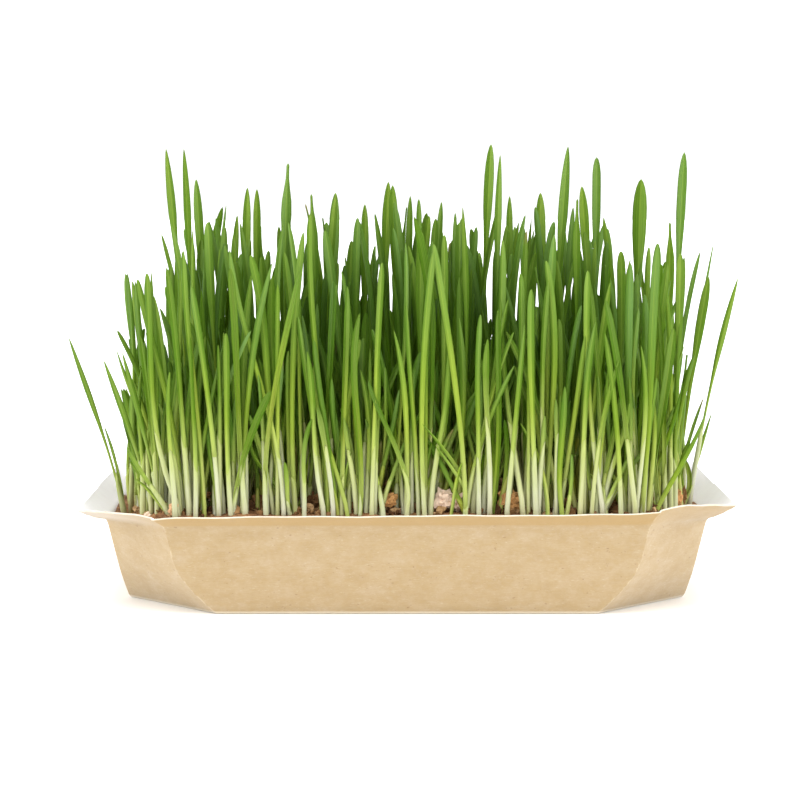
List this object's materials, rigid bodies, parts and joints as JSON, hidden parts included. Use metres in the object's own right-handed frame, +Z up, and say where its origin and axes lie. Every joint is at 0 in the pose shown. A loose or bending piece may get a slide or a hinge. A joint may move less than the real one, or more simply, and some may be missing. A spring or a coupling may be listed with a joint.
{
  "type": "wheatgrass tray",
  "caption": "Folded paperboard tray filled with growing medium, planted with dense upright bunches of young wheatgrass.",
  "frame": {"origin": "centre of the tray's base, on the surface it stands on", "axes": "+Z up, +X along the tray's long side, -Y is the front long side"},
  "size_m": [0.233, 0.1574, 0.161],
  "materials": {
    "paperboard": "matt",
    "growing_medium": "rough",
    "grass": "satin"
  },
  "bodies": {
    "root": {"tray": "paperboard", "soil": "growing_medium", "bunch_01": "grass", "bunch_02": "grass", "bunch_03": "grass", "bunch_04": "grass", "bunch_05": "grass", "bunch_06": "grass", "bunch_07": "grass", "bunch_08": "grass", "bunch_09": "grass", "bunch_10": "grass", "bunch_11": "grass", "bunch_12": "grass", "bunch_13": "grass", "bunch_14": "grass", "bunch_15": "grass", "bunch_16": "grass", "bunch_17": "grass", "bunch_18": "grass", "bunch_19": "grass", "bunch_20": "grass", "bunch_21": "grass", "bunch_22": "grass", "bunch_23": "grass", "bunch_24": "grass", "bunch_25": "grass", "bunch_26": "grass", "bunch_27": "grass", "bunch_28": "grass", "bunch_29": "grass", "bunch_30": "grass", "bunch_31": "grass", "bunch_32": "grass", "bunch_33": "grass", "bunch_34": "grass", "bunch_35": "grass", "bunch_36": "grass", "bunch_37": "grass", "bunch_38": "grass", "bunch_39": "grass", "bunch_40": "grass", "bunch_41": "grass", "bunch_42": "grass", "bunch_43": "grass"}
  },
  "joints": []
}
